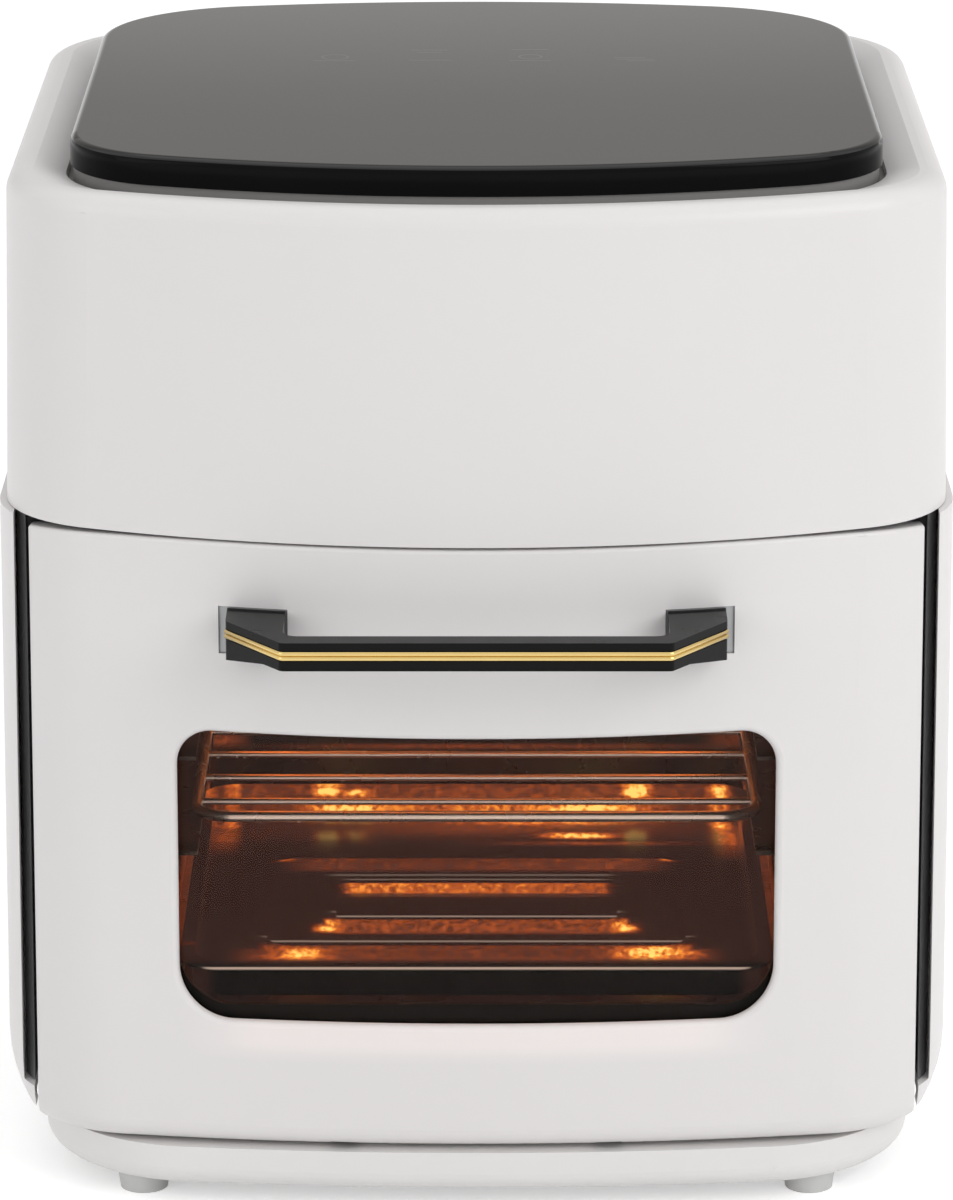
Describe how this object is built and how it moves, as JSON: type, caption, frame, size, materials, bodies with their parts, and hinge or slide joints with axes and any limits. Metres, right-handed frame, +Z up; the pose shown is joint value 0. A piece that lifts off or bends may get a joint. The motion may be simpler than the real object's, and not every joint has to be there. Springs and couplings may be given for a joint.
{
  "type": "air fryer oven",
  "caption": "Countertop air fryer oven with a drop-down glass door, wire rack, drip tray, hot-air fan and raised touch panel.",
  "frame": {"origin": "middle of the whole object's footprint, handle included, on the surface it stands on", "axes": "+Z up, front and door facing -Y, +X to the right seen from the front"},
  "size_m": [0.325, 0.371, 0.36],
  "materials": {
    "white_shell": "satin white moulded shell",
    "white_base": "satin white moulded base",
    "black_gloss": "gloss black touch cover",
    "black_frame": "fine-textured black",
    "carrier_grey": "grey moulded carrier",
    "door_inner": "satin black inner frame",
    "rubber": "soft light grey feet",
    "silicone": "black silicone",
    "steel": "plated steel fasteners and brackets",
    "liner_enamel": "dark enamelled sheet steel",
    "rack_chrome": "chrome-plated wire",
    "tray_coat": "dark non-stick coating",
    "heater": "glowing sheathed heater",
    "fan_metal": "pressed aluminium",
    "motor_metal": "zinc-plated motor can",
    "copper": "enamelled winding",
    "bronze": "sintered bush",
    "insulation": "mineral fibre blanket",
    "board_green": "printed circuit board",
    "glass_dark": "tinted tempered glass",
    "glass_clear": "clear tempered glass",
    "handle_black": "satin black handle",
    "trim_gold": "polished gold trim",
    "pad_silver": "silver-grey pads"
  },
  "bodies": {
    "body": {"base_pan": "white_base", "rubber_feet": "rubber", "foot_screws": "steel", "side_panel_right": "white_shell", "side_panel_left": "white_shell", "rear_cover": "white_shell", "cable_gland": "silicone", "front_frame": "black_frame", "door_gasket": "silicone", "cavity_liner": "liner_enamel", "liner_rails": "steel", "insulation_blanket": "insulation", "rack_guide_right": "liner_enamel", "rack_guide_left": "liner_enamel", "heating_element": "heater", "heater_clips": "steel", "element_guard": "rack_chrome", "motor_housing": "motor_metal", "motor_stator": "copper", "motor_bushes": "bronze", "motor_posts": "steel", "motor_screws": "steel", "heat_deck": "steel", "deck_posts": "steel", "lamp_cover": "glass_clear", "lamp_bulb": "glass_clear", "lamp_holder": "black_frame", "temperature_probe": "steel", "top_housing": "white_shell", "exhaust_grille": "white_shell", "touch_cover": "black_gloss", "panel_carrier": "carrier_grey", "display_board": "board_green", "power_board": "board_green", "board_posts": "steel", "hinge_arm_right": "steel", "hinge_arm_left": "steel", "catch_plates": "steel", "door_switch": "black_frame"},
    "door": {"door_shell": "white_shell", "door_liner": "door_inner", "window_seal": "silicone", "outer_glass": "glass_dark", "inner_glass": "glass_clear", "glass_clips": "steel", "handle_bar": "handle_black", "handle_trim": "trim_gold", "handle_pads": "pad_silver", "handle_screws": "steel", "hinge_bracket_right": "steel", "hinge_bracket_left": "steel", "hinge_pins": "steel", "door_magnets": "steel"},
    "fan": {"hot_air_fan": "fan_metal", "motor_rotor": "steel", "motor_shaft": "steel", "cooling_fan": "fan_metal", "fan_nuts": "steel"},
    "rack": {"wire_rack": "rack_chrome"},
    "tray": {"drip_tray": "tray_coat"}
  },
  "joints": [
    {"name": "door_hinge", "type": "hinge", "parent": "body", "child": "door", "pos_m": [0, -0.145, 0.033], "axis": [1, 0, 0], "range_deg": [0, 85]},
    {"name": "fan_spin", "type": "hinge", "parent": "body", "child": "fan", "pos_m": [0, 0.0135, 0.2], "axis": [0, 0, 1], "continuous": true},
    {"name": "rack_slide", "type": "slide", "parent": "body", "child": "rack", "axis": [0, -1, 0], "range_m": [0, 0.1]},
    {"name": "tray_slide", "type": "slide", "parent": "body", "child": "tray", "axis": [0, -1, 0], "range_m": [0, 0.076]}
  ],
  "couplings": [
    {"joint": "rack_slide", "follows": "door_hinge", "m_per_rad": 0.067},
    {"joint": "tray_slide", "follows": "door_hinge", "m_per_rad": 0.05}
  ]
}
